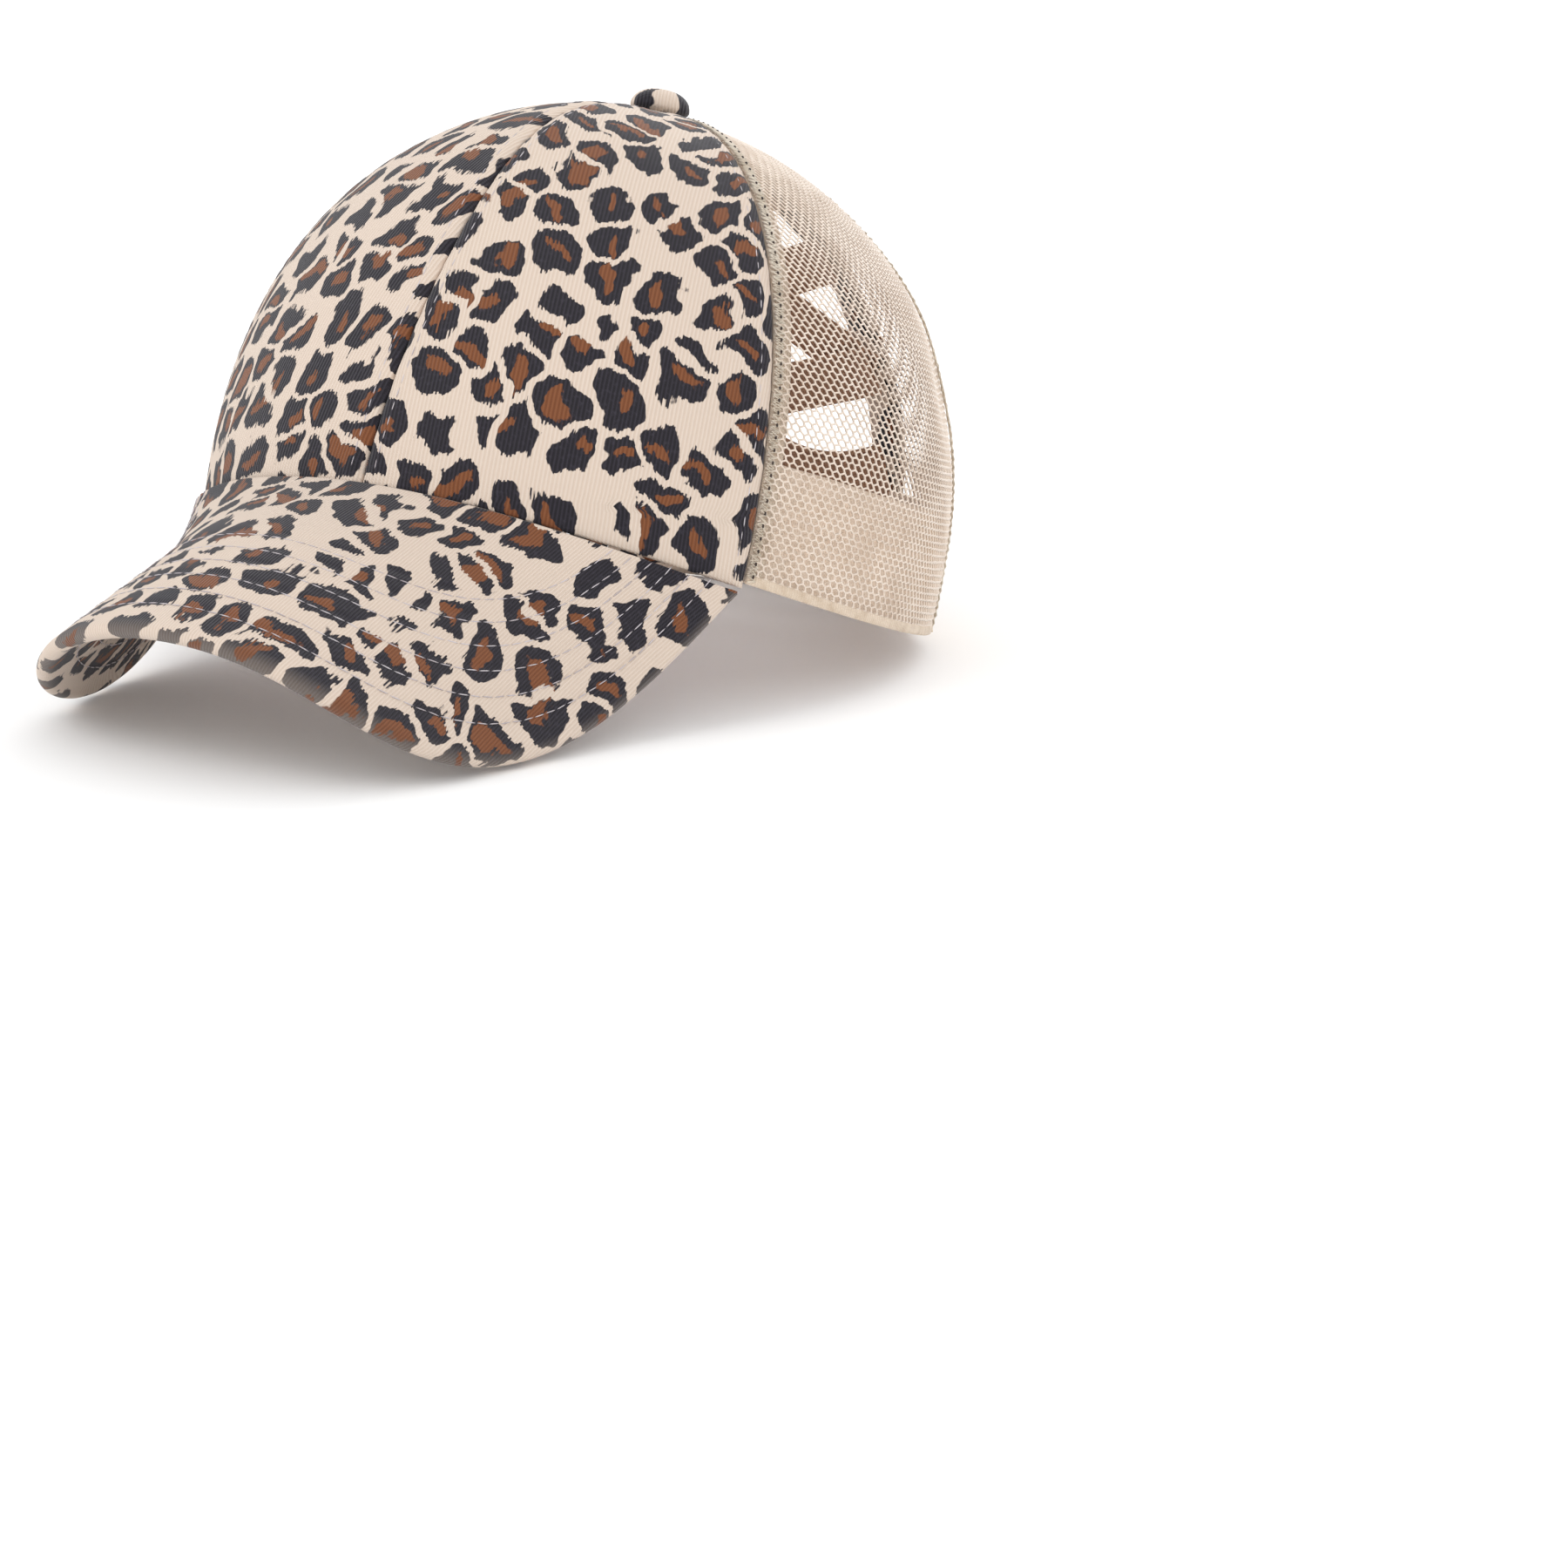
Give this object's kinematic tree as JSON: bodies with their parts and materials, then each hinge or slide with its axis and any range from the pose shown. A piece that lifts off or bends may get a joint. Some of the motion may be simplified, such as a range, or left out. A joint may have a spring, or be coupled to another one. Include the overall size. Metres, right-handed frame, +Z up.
{
  "type": "ponytail baseball cap",
  "caption": "Soft six-gore cap with a curved brim, cloth front, net sides and back, and an arched bound opening at the back crossed by elastic bands above a closure strap.",
  "frame": {"origin": "on the surface that the cap stands on, under the middle of its overall box", "axes": "+X to the wearer's left, +Y to the back of the cap, +Z up"},
  "size_m": [0.1782, 0.2448, 0.1287],
  "materials": {
    "printed_cotton": "soft cotton twill with a faded spotted print",
    "net": "knitted net with a slight sheen",
    "lining": "plain matt lining",
    "taupe_tape": "stitched cotton tape",
    "cream_tape": "stitched cotton tape",
    "sweatband": "soft brushed cotton",
    "plain_cotton": "plain cotton",
    "elastic": "ribbed woven elastic"
  },
  "bodies": {
    "root": {"front_panel_left": "printed_cotton", "front_panel_right": "printed_cotton", "front_lining_left": "lining", "front_lining_right": "lining", "side_mesh_left": "net", "side_mesh_right": "net", "back_mesh_left": "net", "back_mesh_right": "net", "centre_tape": "taupe_tape", "side_tape_left": "cream_tape", "side_tape_right": "cream_tape", "rear_tape_left": "cream_tape", "rear_tape_right": "cream_tape", "sweatband": "sweatband", "brim": "printed_cotton", "binding_left": "printed_cotton", "binding_right": "printed_cotton", "closure_strap": "printed_cotton", "closure_under_strap": "plain_cotton", "elastic_upper_outer": "elastic", "elastic_upper_inner": "elastic", "elastic_lower_inner": "elastic", "elastic_lower_outer": "elastic", "top_button": "printed_cotton", "care_tab": "plain_cotton"}
  },
  "joints": []
}
